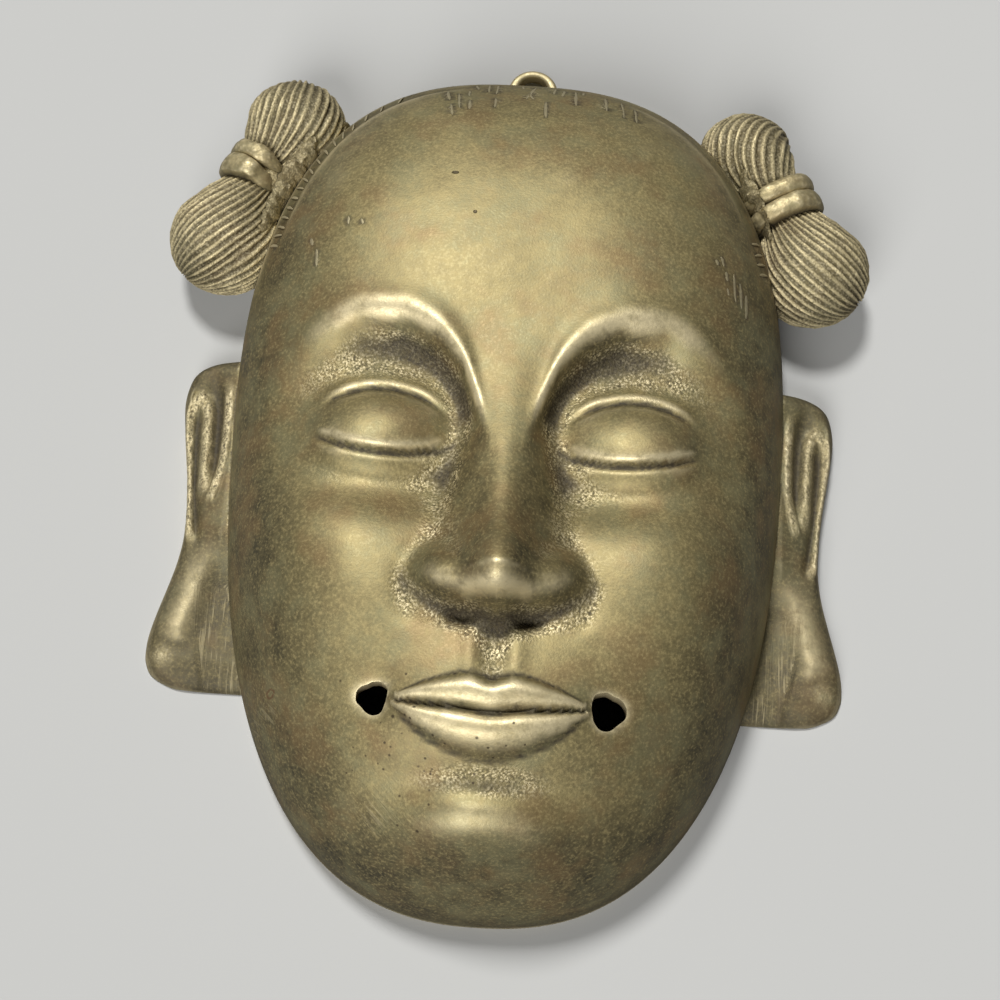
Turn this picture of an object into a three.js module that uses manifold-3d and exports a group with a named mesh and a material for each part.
// Cast brass wall mask with long ear lobes and two bound hair buns.
//
// The mask lies on its back: the open back is in the plane z = 0, the face looks
// along +Z, the crown points along +Y and +X is to the viewer's right.
// Lengths are in millimetres.
//
// Pieces:
//   mask_casting  face shell, ears and hair buns, poured as one thin walled casting
//   hanging_ring  small ring let into the back edge of the crown and brazed there

import * as THREE from 'three';
import { mergeVertices } from 'three/addons/utils/BufferGeometryUtils.js';
import Module from 'manifold-3d';

const wasm = await Module();
wasm.setup();

// Driving dimensions

const TOTAL_HEIGHT = 146.2;       // chin to the top of the hanging ring
const HEAD_HEIGHT = 139.6;        // chin to crown
const HEAD_WIDTH = 88.0;          // between the ears, at the back edge
const DOME_HEIGHT = 32.0;         // of the plain dome that the features stand on
const NOSE_RISE = 10.6;           // of the nose over the dome
const WALL = 2.8;                 // thickness of the cast shell

const RING_OUTER = 8.5;           // hanging ring, outer diameter
const RING_BORE = 5.2;
const RING_THICK = 2.4;
const JOINT_GAP = 0.3;            // between the ring and its seat in the crown

const EAR_TOP = 14.6;             // y of the ear's top
const EAR_BOTTOM = -40.1;         // y of the lobe's lower edge
const EAR_REACH = 54.5;           // lobe tip to the mid plane
const EAR_ROOT = 36.0;            // buried end of each row across the ear

const BUN_AXIS = [-0.46, 0.888, 0];     // of the right bun, from the lower lobe to the upper one
const STRANDS = 21;               // ridges of hair round a lobe

// Places on the face, from the rule of equal thirds

const CHIN = -TOTAL_HEIGHT / 2;
const CROWN = CHIN + HEAD_HEIGHT;
const EYE_LINE = (CROWN + CHIN) / 2;
const THIRD = 0.281 * HEAD_HEIGHT;
const NOSE_BASE = CHIN + THIRD;
const MOUTH_LINE = NOSE_BASE - THIRD / 3;

// Mesh densities

const OUTER_RAYS = 64;
const OUTER_RINGS = 23;
const INNER_RAYS = 40;
const INNER_RINGS = 11;
const EAR_ROWS = 24;
const LOBE_STEPS = 9;

// Small helpers

const clamp = (t, low, high) => Math.min(Math.max(t, low), high);

function smoothStep(from, to, t) {
  const s = clamp((t - from) / (to - from), 0, 1);
  return s * s * (3 - 2 * s);
}

// Soft switch from 0 to 1 about t = 0.
const soft = (t) => 0.5 * (1 + Math.tanh(t));

// Smooth hill of height 1 with half widths rx and ry.
function hill(x, y, cx, cy, rx, ry, power = 2) {
  const squared = ((x - cx) / rx) ** 2 + ((y - cy) / ry) ** 2;
  return Math.exp(-(squared ** (power / 2)));
}

// Smooth curve through [place, value] pairs.
function curveThrough(pairs) {
  const curve = new THREE.CatmullRomCurve3(
    pairs.map(([place, value]) => new THREE.Vector3(place, value, 0)),
    false,
    'centripetal',
  );
  const dense = curve.getPoints(120);
  return (place) => {
    const i = dense.findIndex((p) => p.x >= place);
    if (i === 0) return dense[0].y;
    if (i < 0) return dense[dense.length - 1].y;
    const a = dense[i - 1];
    const b = dense[i];
    return a.y + ((b.y - a.y) * (place - a.x)) / (b.x - a.x);
  };
}

// Head outline: an egg, a little wider and squarer above the eye line. The surface of the face
// is laid out on rays from a middle point between the eyes and the mouth, where its detail is.

const MIDDLE = -22.0;

function headRadius(x, y) {
  const t = (y - EYE_LINE) / (HEAD_HEIGHT / 2);
  const half = (HEAD_WIDTH / 2) * (1 + 0.045 * Math.tanh(1.6 * t));
  const power = 2.55 + 0.15 * Math.tanh(2 * t);
  return ((Math.abs(x) / half) ** power + Math.abs(t) ** power) ** (1 / power);
}

// Length of the ray from the middle point to the outline.
function rayLength(angle) {
  let near = 0;
  let far = HEAD_HEIGHT;
  for (let i = 0; i < 40; i++) {
    const halfway = (near + far) / 2;
    const inside = headRadius(halfway * Math.cos(angle), MIDDLE + halfway * Math.sin(angle)) < 1;
    if (inside) near = halfway;
    else far = halfway;
  }
  return near;
}

const domeProfile = (r) => DOME_HEIGHT * Math.max(1 - Math.min(r, 1) ** 3.5, 0) ** 0.48;

// Relief of the face over the dome

const bell = (distance, width) => Math.exp(-((distance / width) ** 2));

const browLine = curveThrough([
  [2.5, -9.0], [4.5, -3.5], [7.5, 3.4], [12, 8.2], [17, 10.4], [22, 10.6], [27, 9.0], [32, 5.8], [38, 0.5],
]);
const EYE_CENTRE = 18.4;
const EYE_HALF_WIDTH = 10.3;

function eyeRelief(u, y) {
  const above = y - browLine(u);
  const outward = smoothStep(14, 33, u);
  const besideNose = soft((u - 4.9 - 0.16 * clamp(-2 - y, 0, 30)) / 1.9);
  const underBrow = soft(-above / (1.8 + 2.4 * outward)) * (1 - 0.45 * outward);
  let z = -5.6 * underBrow * soft((y + 17) / 5) * besideNose * soft((34 - u) / 4.6);
  z += 0.9 * bell(above - 2.8, 3.4) * soft((u - 5) / 2.5) * soft((31 - u) / 4.5);
  // closed lids over the ball of the eye
  const ball = ((u - EYE_CENTRE) / 11.4) ** 2 + ((y + 5.4) / 8.4) ** 2;
  z += 5.4 * Math.exp(-((ball / 0.66) ** 1.25));
  const v = (u - EYE_CENTRE) / EYE_HALF_WIDTH;
  const onLid = smoothStep(1.12, 0.6, Math.abs(v));
  const slit = y - (-9.3 + 2.9 * v ** 2 + 0.5 * v);
  z += onLid * 0.9 * soft(slit / 0.28) * Math.exp(-clamp(slit, 0, 30) / 5);
  z -= onLid * 0.5 * bell(slit + 0.55, 0.5);
  z += onLid * 0.4 * bell(slit + 2.4, 1.3);
  return z;
}

// Joins heights as the power mean does: near the highest one, with soft valleys between.
function roundedSum(heights, power) {
  return heights.reduce((sum, height) => sum + Math.max(height, 0) ** power, 0) ** (1 / power);
}

function noseRelief(x, y) {
  const u = Math.abs(x);
  const t = clamp((14 - y) / 43, 0, 1);
  const ridge = NOSE_RISE * (0.25 * t ** 1.5 + 0.75 * t ** 2.3) * bell(u, 4.1 + 2.1 * t ** 1.6);
  const tip = 7.7 * hill(x, y, 0, -27.8, 6.6, 6.6, 2.2);
  const wingReach = Math.hypot((u - 7.6) / 4.1, (y + 29.6) / 5.0);
  const wing = 5.6 * Math.exp(-(wingReach ** 2.4));
  const under = soft((y - (NOSE_BASE + 0.5 + 0.026 * u ** 2)) / 1.5);
  let z = roundedSum([ridge, tip, wing], 2.2) * under;
  z -= 0.35 * bell(wingReach - 1.45, 0.35) * soft((u - 8.5) / 1.2) * soft((y + 35) / 1.5);
  z -= 2.8 * hill(u, y, 4.5, -33.7, 2.3, 1.3);
  return z;
}

function mouthRelief(x, y) {
  const u = Math.abs(x);
  let z = 4.2 * hill(x, y, 0, MOUTH_LINE - 1, 19, 13, 2.4);
  const lipHeight = soft((y + 42.2) / 1.4) * soft((-35 - y) / 1.2);
  z -= 0.7 * bell(x, 1.9) * lipHeight;
  z += 0.25 * bell(u - 3.2, 1.4) * lipHeight;
  const half = 14.4;
  const v = clamp(u / half, 0, 1);
  const line = MOUTH_LINE + 1.3 * v ** 2.4 - 0.5 * bell(x, 3);
  const top = MOUTH_LINE + 5.2 - 4.0 * v ** 1.9 - 1.1 * bell(x, 2.1);
  const bottom = MOUTH_LINE - 6.4 + 7.8 * v ** 2.2;
  const taper = Math.max(1 - v ** 2, 0) ** 0.6;
  if (y > line) {
    const s = clamp((y - line) / Math.max(top - line, 0.3), 0, 1);
    z += 2.8 * taper * s ** 0.6 * (1 - s ** 2.6);
  } else {
    const s = clamp((line - y) / Math.max(line - bottom, 0.3), 0, 1);
    z += 3.7 * taper * s ** 0.55 * (1 - s ** 2.2);
  }
  z -= 0.7 * bell(y - line, 0.5) * smoothStep(16.5, 13, u);
  z -= 1.1 * hill(u, y, 15.8, MOUTH_LINE + 1.4, 2.6, 2.3);
  return z;
}

function softRelief(x, y) {
  const u = Math.abs(x);
  let z = -1.8 * hill(x, y, 0, -56.4, 11.5, 2.9);
  z += 4.2 * hill(x, y, 0, -63.6, 12, 6.6, 2.4);
  z += 3.6 * hill(u, y, 25, -26, 14, 16, 2.2);
  z += hill(x, y, 0, 32, 26, 20, 2.4);
  z -= 1.2 * hill(u, y, 36.5, 8, 8, 14);
  return z;
}

function faceRelief(x, y) {
  const relief = eyeRelief(Math.abs(x), y) + noseRelief(x, y) + mouthRelief(x, y) + softRelief(x, y);
  return relief * (1 - smoothStep(0.84, 1, headRadius(x, y)));
}

const faceHeight = (x, y) => domeProfile(headRadius(x, y)) + faceRelief(x, y);

// Lowest value that a height function leaves to a wall of the cast thickness beneath it.
function oneWallBelow(height, x, y) {
  let lowest = Infinity;
  for (const share of [0, 0.5, 0.87, 1]) {
    for (let i = 0; i < 12; i++) {
      const angle = (i / 12) * 2 * Math.PI;
      const reach = share * WALL;
      const roof = height(x + reach * Math.cos(angle), y + reach * Math.sin(angle));
      lowest = Math.min(lowest, roof - WALL * Math.sqrt(1 - share ** 2));
    }
  }
  return lowest;
}

// Height of the hollow's roof: the face seen from inside, one wall thickness away, with its
// relief softened as the core of the mould was.
function hollowHeight(x, y) {
  const softening = 5;
  const relief = (px, py) => faceRelief(px, py) + WALL;
  let sum = oneWallBelow(relief, x, y);
  let count = 1;
  for (const share of [0.5, 1]) {
    for (let i = 0; i < 8; i++) {
      const angle = ((i + share) / 8) * 2 * Math.PI;
      const px = x + share * softening * Math.cos(angle);
      const py = y + share * softening * Math.sin(angle);
      sum += oneWallBelow(relief, px, py);
      count += 1;
    }
  }
  const dome = oneWallBelow((px, py) => domeProfile(headRadius(px, py)), x, y);
  return Math.max(dome + sum / count, 0);
}

// Shares of the way from the middle to the edge that cut the dome's profile into equal lengths.
function ringShares(count) {
  const samples = 600;
  const meanRadius = (HEAD_HEIGHT + HEAD_WIDTH) / 4;
  const lengths = [0];
  for (let i = 1; i <= samples; i++) {
    const step = meanRadius / samples;
    const drop = domeProfile(i / samples) - domeProfile((i - 1) / samples);
    lengths.push(lengths[i - 1] + Math.hypot(step, drop));
  }
  const shares = [];
  for (let ring = 1; ring <= count; ring++) {
    const wanted = (lengths[samples] * ring) / count;
    const i = lengths.findIndex((length) => length >= wanted - 1e-9);
    const part = (wanted - lengths[i - 1]) / (lengths[i] - lengths[i - 1]);
    shares.push((i - 1 + part) / samples);
  }
  return shares;
}

// Solids

// Two triangles over a four sided patch, split along its shorter diagonal.
function splitPatch(points, a, b, c, d) {
  const length = (i, j) => Math.hypot(...points[i].map((v, k) => v - points[j][k]));
  return length(a, c) < length(b, d) ? [a, b, c, a, c, d] : [a, b, d, b, c, d];
}

// Closed solid from rings of points: all rings have the same number of points, and the
// first and last one close on a middle point of their own.
function solidFromRings(rings, firstPoint, lastPoint) {
  const count = rings[0].length;
  const points = [firstPoint, ...rings.flat(), lastPoint];
  const last = points.length - 1;
  const index = [];
  for (let i = 0; i < count; i++) {
    const j = (i + 1) % count;
    index.push(0, 1 + i, 1 + j);
    for (let ring = 0; ring < rings.length - 1; ring++) {
      const a = 1 + ring * count;
      const b = a + count;
      index.push(...splitPatch(points, a + i, b + i, b + j, a + j));
    }
    const a = 1 + (rings.length - 1) * count;
    index.push(a + i, last, a + j);
  }
  const geometry = new THREE.BufferGeometry();
  geometry.setAttribute('position', new THREE.Float32BufferAttribute(points.flat(), 3));
  geometry.setIndex(index);
  return geometry;
}

function volumeOf(geometry) {
  const p = geometry.attributes.position;
  const a = new THREE.Vector3();
  const b = new THREE.Vector3();
  const c = new THREE.Vector3();
  let volume = 0;
  for (let i = 0; i < geometry.index.count; i += 3) {
    a.fromBufferAttribute(p, geometry.index.getX(i));
    b.fromBufferAttribute(p, geometry.index.getX(i + 1));
    c.fromBufferAttribute(p, geometry.index.getX(i + 2));
    volume += a.dot(b.cross(c)) / 6;
  }
  return volume;
}

// Solid ready for joining and cutting, with its faces turned outwards.
function toSolid(geometry) {
  const bare = geometry.clone();
  bare.deleteAttribute('normal');
  bare.deleteAttribute('uv');
  const merged = mergeVertices(bare, 1e-5);
  const triVerts = Uint32Array.from(merged.index.array);
  if (volumeOf(merged) < 0) triVerts.reverse();
  const vertProperties = Float32Array.from(merged.attributes.position.array);
  return new wasm.Manifold(new wasm.Mesh({ numProp: 3, vertProperties, triVerts }));
}

function toGeometry(solid) {
  const mesh = solid.getMesh();
  const geometry = new THREE.BufferGeometry();
  geometry.setAttribute('position', new THREE.BufferAttribute(mesh.vertProperties, 3));
  geometry.setIndex(new THREE.BufferAttribute(mesh.triVerts, 1));
  return geometry;
}

// Rings of points round the middle point, closer together there on the long upward rays.
function ringsOnRays(rays, count, inset, height) {
  const shares = ringShares(count);
  const rings = shares.map(() => []);
  for (let i = 0; i < rays; i++) {
    const angle = (i / rays) * 2 * Math.PI - Math.PI / 2;
    const length = rayLength(angle);
    const crowding = 1 + 0.55 * clamp((length - 45) / 45, 0, 1);
    shares.forEach((share, ring) => {
      const reach = (length - inset) * share ** crowding;
      const x = reach * Math.cos(angle);
      const y = MIDDLE + reach * Math.sin(angle);
      rings[ring].push([x, y, ring === count - 1 ? 0 : height(x, y)]);
    });
  }
  return rings;
}

// Full dome of the head, flat below, with the relief of the face.
function headSolid() {
  const rings = ringsOnRays(OUTER_RAYS, OUTER_RINGS, 0, faceHeight);
  return toSolid(solidFromRings(rings, [0, MIDDLE, faceHeight(0, MIDDLE)], [0, MIDDLE, 0]));
}

// The hollow behind the face, reaching a little below the back edge.
function hollowSolid() {
  const drop = 2;
  const rings = ringsOnRays(INNER_RAYS, INNER_RINGS, WALL, hollowHeight);
  rings.push(rings[INNER_RINGS - 1].map(([x, y]) => [x, y, -drop]));
  return toSolid(solidFromRings(rings, [0, MIDDLE, hollowHeight(0, MIDDLE)], [0, MIDDLE, -drop]));
}

// Ear: a plate that climbs towards the cheek, with channels cut and ridges raised along lines.
// The lines are drawn for the right ear, as reach from the mid plane and height y.

function drawn(points, steps) {
  const curve = new THREE.CatmullRomCurve3(points.map(([u, y]) => new THREE.Vector3(u, y, 0)));
  return curve.getPoints(steps).map((p) => [p.x, p.y]);
}

const EAR_OUTLINE = drawn([
  [EAR_ROOT, EAR_BOTTOM], [44.0, EAR_BOTTOM], [48.6, -39.9], [51.2, -39.1], [53.3, -37.8], [54.3, -35.8],
  [EAR_REACH, -33.8], [54.3, -31.5], [53.5, -28.0], [52.4, -24.0], [51.2, -19.5], [50.5, -15.5],
  [50.6, -11.0], [51.1, -6.0], [51.8, -1.5], [52.6, 3.6], [52.9, 6.9], [52.6, 9.6], [51.8, 11.8],
  [50.2, 13.4], [47.6, 14.3], [44.0, EAR_TOP], [EAR_ROOT, EAR_TOP],
], 160);
const RIM_LINE = drawn([
  [48.8, 7.9], [50.2, 7.1], [51.1, 5.2], [51.3, 2.4], [50.95, -1.8], [50.45, -7.0], [49.95, -11.0],
  [49.4, -14.6], [48.4, -18.2],
], 24);
const GROOVE_LINE = drawn([
  [49.4, 5.8], [49.9, 2.7], [49.8, -0.6], [49.55, -4.4], [49.25, -8.5], [48.8, -11.8], [48.2, -15.3],
  [47.7, -18.0],
], 24);
const FOLD_LINE = drawn([
  [48.9, 6.9], [48.3, 4.4], [48.2, 1.2], [48.0, -2.1], [47.85, -4.7], [47.8, -7.6], [47.5, -10.8],
], 20);
const CHANNEL_LINE = drawn([
  [49.4, 10.6], [47.9, 9.2], [46.9, 6.2], [46.5, 2.6], [46.35, -1.7], [46.5, -4.7], [46.8, -7.8],
], 20);
const CHEEK_LINE = drawn([
  [46.6, 12.2], [45.6, 9.8], [45.15, 7.0], [45.0, 3.0], [45.0, -0.5], [45.1, -3.5], [45.5, -6.4],
  [46.0, -8.8], [46.8, -11.0],
], 24);
const LOBE_LINE = drawn([
  [46.3, -14.0], [46.3, -18.0], [46.9, -21.6], [47.8, -25.3], [49.0, -29.5], [50.3, -33.6],
], 20);
const HOOD_LINE = curveThrough([
  [43.0, 11.0], [46.0, 10.2], [49.0, 9.4], [50.7, 8.3], [51.6, 6.3], [52.1, 3.5], [52.8, -4.0],
]);

// Distance to a line, the share of the way along it, and whether the point lies outwards of it.
function fromLine(line, u, y) {
  let best = { away: Infinity };
  for (let i = 1; i < line.length; i++) {
    const [au, ay] = line[i - 1];
    const [du, dy] = [line[i][0] - au, line[i][1] - ay];
    const t = clamp(((u - au) * du + (y - ay) * dy) / (du ** 2 + dy ** 2), 0, 1);
    const [gu, gy] = [u - au - t * du, y - ay - t * dy];
    const away = Math.hypot(gu, gy);
    if (away < best.away) best = { away, share: (i - 1 + t) / (line.length - 1), outward: gu > 0 };
  }
  return best;
}

const swellOf = (away, width, power) => Math.exp(-((away / width) ** power));

// Height of a stripe that follows a line and fades in and out at its ends.
function stripe(line, u, y, width, power, fadeIn, fadeOut) {
  const { away, share } = fromLine(line, u, y);
  return swellOf(away, width, power) * smoothStep(0, fadeIn, share) * smoothStep(1, fadeOut, share);
}

function earHeight(u, y) {
  const edge = fromLine(EAR_OUTLINE, u, y).away;
  const lobe = smoothStep(-15, -24, y);
  const hood = (0.5 + 0.5 * Math.tanh((y - HOOD_LINE(u)) / 1.2)) * (1 - lobe);
  let z = 3.9 - 0.9 * lobe + 0.34 * (1 - lobe) * clamp(51.0 - u, 0, 7);
  z += hood * (1.1 - 0.9 * smoothStep(11, 14, y));
  z += 0.4 * stripe(RIM_LINE, u, y, 0.66, 5, 0.06, 0.86);
  z += 0.5 * stripe(FOLD_LINE, u, y, 1.05, 4, 0.08, 0.8);
  z += 0.4 * stripe(CHEEK_LINE, u, y, 0.62, 5, 0.3, 0.9);
  z -= 0.55 * stripe(GROOVE_LINE, u, y, 1.0, 2.0, 0.12, 0.75);
  z -= 0.85 * stripe(CHANNEL_LINE, u, y, 1.2, 2.0, 0.3, 0.8);
  const ridge = fromLine(LOBE_LINE, u, y);
  const crest = swellOf(ridge.away, ridge.outward ? 3.0 : 2.0, 2.2) * smoothStep(1, 0.86, ridge.share);
  z += lobe * (1.5 - 0.4 * ridge.share) * crest - 0.3 * lobe * smoothStep(47, 43.5, u);
  const roundEdge = 1.0 + 1.2 * hood + 2.2 * lobe + 2.4 * smoothStep(-31, -38, y);
  return z * Math.sqrt(1 - (1 - clamp(edge / roundEdge, 0, 1)) ** 2);
}

// The mesh of the ear is a stack of rows across it, with a point wherever a row crosses one of
// the lines: the edge, the rim, the groove, the fold, the channel and the ribbon at the cheek.

const EAR_EDGE = curveThrough(EAR_OUTLINE.slice(6, -6).map(([u, y], i) => [y + 1e-4 * i, u]));
const EAR_KEYS = [
  (y, edge) => edge - 0.25,
  (y, edge) => edge - 0.9,
  (y, edge) => edge - 1.7,
  curveThrough([
    [EAR_BOTTOM, 50.9], [-34, 51.8], [-29, 50.6], [-24, 48.9], [-18, 47.7], [-15.3, 48.2], [-11.8, 48.8],
    [-8.5, 49.25], [-4.4, 49.55], [-0.6, 49.8], [2.7, 49.9], [5.8, 49.6], [10, 49.0], [EAR_TOP, 47.0],
  ]),
  curveThrough([
    [EAR_BOTTOM, 49.8], [-34, 50.2], [-29.5, 49.0], [-25.3, 47.8], [-21.6, 46.9], [-18, 46.4],
    [-14, 46.9], [-10.8, 47.5], [-7.6, 47.8], [-2.1, 48.0], [4.4, 48.3], [6.9, 48.5], [EAR_TOP, 46.4],
  ]),
  curveThrough([
    [EAR_BOTTOM, 47.6], [-34, 48.0], [-29, 47.0], [-24, 45.8], [-18, 45.2], [-12, 46.2], [-7.8, 46.7],
    [-1.7, 46.35], [2.6, 46.5], [6.2, 46.9], [9.2, 47.4], [EAR_TOP, 45.8],
  ]),
  curveThrough([
    [EAR_BOTTOM, 44.6], [-20, 44.3], [-12, 45.2], [-6.4, 45.4], [-0.5, 45.0], [3, 45.0], [7, 45.15],
    [9.8, 45.6], [EAR_TOP, 44.8],
  ]),
];

function earRow(y) {
  const edge = EAR_EDGE(y);
  const row = [[edge, 0]];
  for (const key of EAR_KEYS) {
    const reach = Math.min(key(y, edge), row[row.length - 1][0] - 0.2);
    row.push([reach, earHeight(reach, y)]);
  }
  row.push([EAR_ROOT, earHeight(EAR_ROOT + 4, y)]);
  row.push([EAR_ROOT, 0]);
  return row;
}

function earSolid(side) {
  const rings = [];
  for (let row = 0; row <= EAR_ROWS; row++) {
    const turn = (row / EAR_ROWS) * Math.PI;
    const share = 0.35 * (0.5 - 0.5 * Math.cos(turn)) + 0.65 * (row / EAR_ROWS);
    const y = EAR_BOTTOM + 0.1 + (EAR_TOP - EAR_BOTTOM - 0.2) * share;
    rings.push(earRow(y).map(([reach, height]) => [side * reach, y, height]));
  }
  const endPoint = (ring) => {
    const [x, y] = ring[ring.length - 1];
    return [x + side * 3, y, ring[3][2] / 2];
  };
  return toSolid(solidFromRings(rings, endPoint(rings[0]), endPoint(rings[EAR_ROWS])));
}

// Hair buns: each is a bow of two lobes tied by a double band.

// Point of the unit sphere on the arc number psi of the family of circles that all pass
// through the two poles, at the share s of the way from the first pole to the second one.
function arcPoint(poleA, poleB, psi, s) {
  const middle = poleA.clone().add(poleB).multiplyScalar(0.5);
  const halfChord = poleA.distanceTo(poleB) / 2;
  const along = poleB.clone().sub(poleA).normalize();
  const u = middle.clone().normalize();
  const w = along.clone().cross(u);
  const n = u.multiplyScalar(Math.cos(psi)).addScaledVector(w, Math.sin(psi));
  const offset = -middle.length() * Math.cos(psi);
  const radius = Math.hypot(halfChord, offset);
  const reach = Math.acos(-offset / radius) * (2 * s - 1);
  return middle
    .addScaledVector(along, radius * Math.sin(reach))
    .addScaledVector(n, offset + radius * Math.cos(reach));
}

// The two buns, with every place given for the right side. The left one is tied a little
// farther out, and its upper lobe is a little larger.
const LEFT_BUN = {
  band: [44.5, 46.2, 8.3],
  halfWidth: 5.3,
  lower: {
    centre: [48.0, 34.0, 8.3],
    radius: 9.75,
    depth: 7.7,
    nearPole: [-0.72, 0.66, -0.25],
    farPole: [0.76, -0.5, -0.6],
  },
  upper: {
    centre: [38.8, 55.0, 8.3],
    radius: 8.8,
    depth: 7.4,
    nearPole: [0.45, -0.88, -0.2],
    farPole: [0.1, 0.85, -0.5],
  },
};
const RIGHT_BUN = {
  band: [43.5, 45.7, 8.3],
  halfWidth: 5.5,
  lower: {
    centre: [48.0, 34.4, 8.3],
    radius: 9.75,
    depth: 7.7,
    nearPole: [-0.58, 0.8, -0.2],
    farPole: [0.84, -0.22, -0.6],
  },
  upper: {
    centre: [36.9, 54.2, 8.3],
    radius: 8.3,
    depth: 7.2,
    nearPole: [0.62, -0.76, -0.2],
    farPole: [0.86, 0.34, -0.2],
  },
};

const mirrored = (side, [x, y, z]) => new THREE.Vector3(side * x, y, z);

// One lobe of hair: a ball drawn out to a cone towards the band. Its strands sweep round it
// from the near pole to the far one.
function lobeSolid(side, bun, lobe) {
  const centre = mirrored(side, lobe.centre);
  const band = mirrored(side, bun.band).sub(centre);
  const tip = band.length() + 3;
  const axis = band.clone().normalize();
  const up = new THREE.Vector3(0, 0, 1);
  const across = up.clone().cross(axis);
  const poleA = mirrored(side, lobe.nearPole).normalize();
  const poleB = mirrored(side, lobe.farPole).normalize();
  const place = (unit, groove) => {
    const q = unit.dot(axis);
    const waist = clamp(q, 0, 0.9999);
    const cone = (1 - waist ** 1.8) ** 0.85 / Math.sqrt(1 - waist ** 2);
    const k = cone * (1 - groove);
    return centre
      .clone()
      .addScaledVector(axis, q * (lobe.radius + (tip - lobe.radius) * waist) * (1 - groove))
      .addScaledVector(across, unit.dot(across) * lobe.radius * k)
      .addScaledVector(up, unit.z * lobe.depth * k)
      .toArray();
  };
  const rings = [];
  for (let step = 1; step < LOBE_STEPS; step++) {
    const s = step / LOBE_STEPS;
    const fade = Math.sin(Math.PI * s) ** 0.5;
    const ring = [];
    for (let i = 0; i < 2 * STRANDS; i++) {
      const psi = (i / (2 * STRANDS)) * 2 * Math.PI;
      ring.push(place(arcPoint(poleA, poleB, psi, s), i % 2 ? 0.05 * fade : 0));
    }
    rings.push(ring);
  }
  return toSolid(solidFromRings(rings, place(poleA, 0), place(poleB, 0)));
}

// Turns a body of revolution about Y to the bun's axis, and moves it to its place.
function alongBun(geometry, side, bun, shift) {
  const axis = mirrored(side, BUN_AXIS).normalize();
  const turn = new THREE.Quaternion().setFromUnitVectors(new THREE.Vector3(0, 1, 0), axis);
  geometry.applyQuaternion(turn);
  const centre = mirrored(side, bun.band).addScaledVector(axis, shift);
  geometry.translate(centre.x, centre.y, centre.z);
  return geometry;
}

// One turn of the band: a flat pillow with a round edge, square to the bun's axis.
function bandSolid(side, bun, shift, tube) {
  const halfWidth = bun.halfWidth + tube / 5;
  const halfDepth = 6.5;
  const bulge = 0.85;
  const profile = [new THREE.Vector2(0, -tube)];
  for (let i = 0; i <= 4; i++) {
    const angle = -Math.PI / 2 + (i / 4) * Math.PI;
    profile.push(new THREE.Vector2(halfWidth - bulge + bulge * Math.cos(angle), tube * Math.sin(angle)));
  }
  profile.push(new THREE.Vector2(0, tube));
  const geometry = new THREE.LatheGeometry(profile, 18);
  geometry.scale(1, 1, halfDepth / halfWidth);
  return toSolid(alongBun(geometry, side, bun, shift));
}

// Egg of metal inside the band, which fills the corner between the lobes and the head.
function coreSolid(side, bun) {
  const egg = new THREE.SphereGeometry(1, 10, 6);
  egg.scale(4.4, 4.4, 5.0);
  alongBun(egg, side, bun, 0);
  const inward = mirrored(side, [-BUN_AXIS[1], BUN_AXIS[0], 0]).multiplyScalar(1.7);
  egg.translate(inward.x, inward.y, -0.8);
  return toSolid(egg);
}

function bunSolid(side) {
  const bun = side < 0 ? LEFT_BUN : RIGHT_BUN;
  return lobeSolid(side, bun, bun.lower)
    .add(lobeSolid(side, bun, bun.upper))
    .add(coreSolid(side, bun))
    .add(bandSolid(side, bun, -1.65, 1.7))
    .add(bandSolid(side, bun, 1.5, 1.45));
}

// Small rough hole cast through the wall at a corner of the mouth.
function cornerHole(side) {
  const sides = 14;
  const centre = [side * 16.4, MOUTH_LINE + 1.4];
  const rings = [-5, 50].map((z) => {
    const points = [];
    for (let i = 0; i < sides; i++) {
      const angle = (i / sides) * 2 * Math.PI;
      const radius = 2.2 + 0.25 * Math.sin(3 * angle + side) + (side > 0 ? 0.3 : 0);
      points.push([centre[0] + radius * Math.cos(angle), centre[1] + radius * Math.sin(angle), z]);
    }
    return points;
  });
  return toSolid(solidFromRings(rings, [...centre, -5], [...centre, 50]));
}

// Hanging ring, with a flat back and its bore set a little high so the top is thinner

const RING_CENTRE = [0.6, TOTAL_HEIGHT / 2 - RING_OUTER / 2];
const BORE_SHIFT = 0.3;

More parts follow.
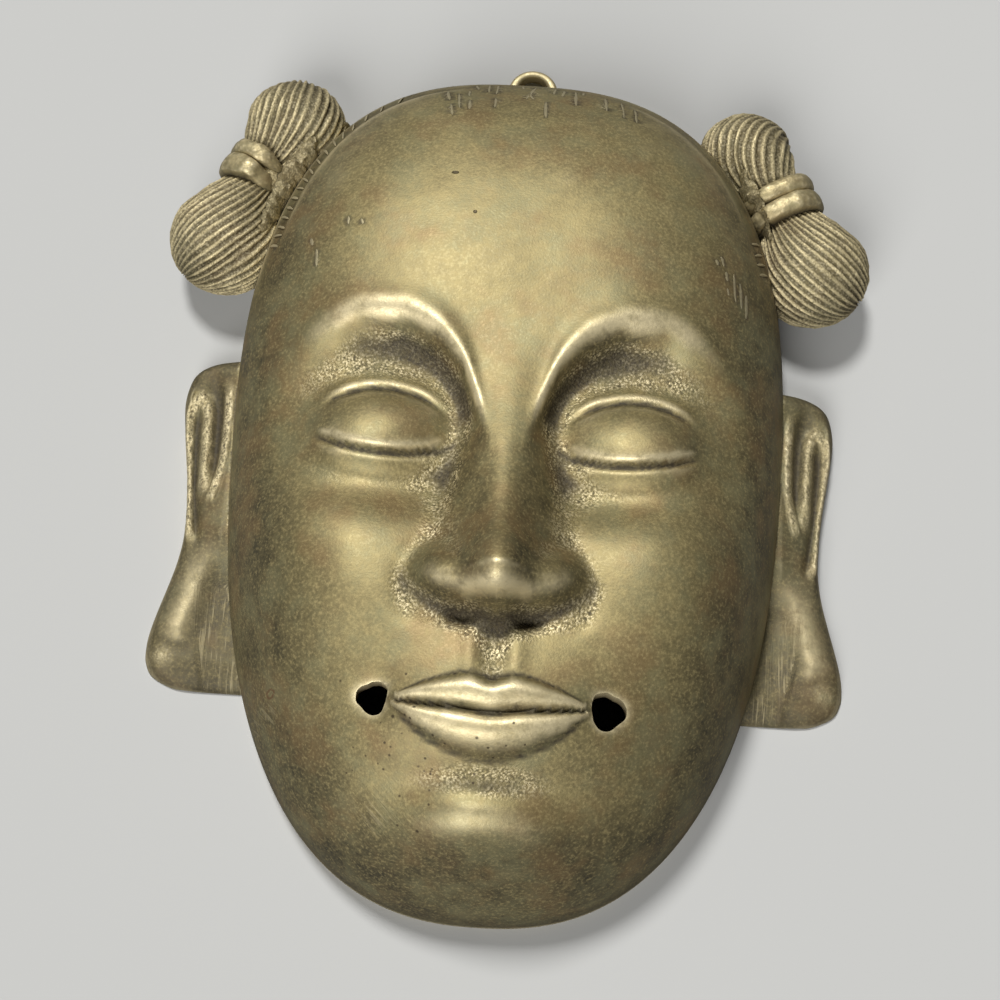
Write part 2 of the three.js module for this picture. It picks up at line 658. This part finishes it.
function ringGeometry(segments = 28) {
  const corner = 0.4;
  const outline = [[0, 0], [1, 0], [1, 1], [0, 1]];
  const rings = [];
  for (let i = 0; i < segments; i++) {
    const angle = (i / segments) * 2 * Math.PI;
    const direction = [Math.cos(angle), Math.sin(angle)];
    const outer = RING_OUTER / 2;
    const inner = RING_BORE / 2 + BORE_SHIFT * direction[1];
    const section = [];
    outline.forEach(([side, level], k) => {
      const before = outline[(k + 3) % 4];
      const after = outline[(k + 1) % 4];
      [before, after].forEach((neighbour) => {
        const reach = inner + (outer - inner) * side + Math.sign(neighbour[0] - side) * corner;
        const height = RING_THICK * level + Math.sign(neighbour[1] - level) * corner;
        section.push([
          RING_CENTRE[0] + reach * direction[0],
          RING_CENTRE[1] + reach * direction[1],
          height,
        ]);
      });
    });
    rings.push(section);
  }
  return solidFromLoop(rings);
}

// Closed solid from sections that follow each other round a closed loop.
function solidFromLoop(sections) {
  const count = sections[0].length;
  const index = [];
  sections.forEach((section, ring) => {
    const a = ring * count;
    const b = ((ring + 1) % sections.length) * count;
    for (let i = 0; i < count; i++) {
      const j = (i + 1) % count;
      index.push(a + i, b + i, b + j);
      index.push(a + i, b + j, a + j);
    }
  });
  const geometry = new THREE.BufferGeometry();
  geometry.setAttribute('position', new THREE.Float32BufferAttribute(sections.flat(2), 3));
  geometry.setIndex(index);
  return geometry;
}

// Seat of the ring in the crown's back edge: a round notch, one gap larger than the ring.
function ringSeat() {
  const radius = RING_OUTER / 2 + JOINT_GAP;
  const seat = new THREE.CylinderGeometry(radius, radius, 2 * (RING_THICK + JOINT_GAP), 28);
  seat.rotateX(Math.PI / 2);
  seat.translate(RING_CENTRE[0], RING_CENTRE[1], 0);
  return toSolid(seat);
}

// The casting

const AGED_BRASS = new THREE.MeshStandardMaterial({ color: 0x8a7a45, roughness: 0.42, metalness: 1 });
const BRIGHT_BRASS = new THREE.MeshStandardMaterial({ color: 0xc9b27a, roughness: 0.35, metalness: 1 });

function maskGeometry() {
  let solid = headSolid();
  for (const side of [-1, 1]) {
    solid = solid.add(earSolid(side));
    solid = solid.add(bunSolid(side));
  }
  solid = solid.subtract(hollowSolid());
  solid = solid.subtract(ringSeat());
  for (const side of [-1, 1]) {
    solid = solid.subtract(cornerHole(side));
  }
  return toGeometry(solid);
}

const casting = new THREE.Mesh(maskGeometry(), AGED_BRASS);
casting.name = 'mask_casting';

const ring = new THREE.Mesh(toGeometry(toSolid(ringGeometry())), BRIGHT_BRASS);
ring.name = 'hanging_ring';

const mask = new THREE.Group();
mask.add(casting, ring);

export default mask;
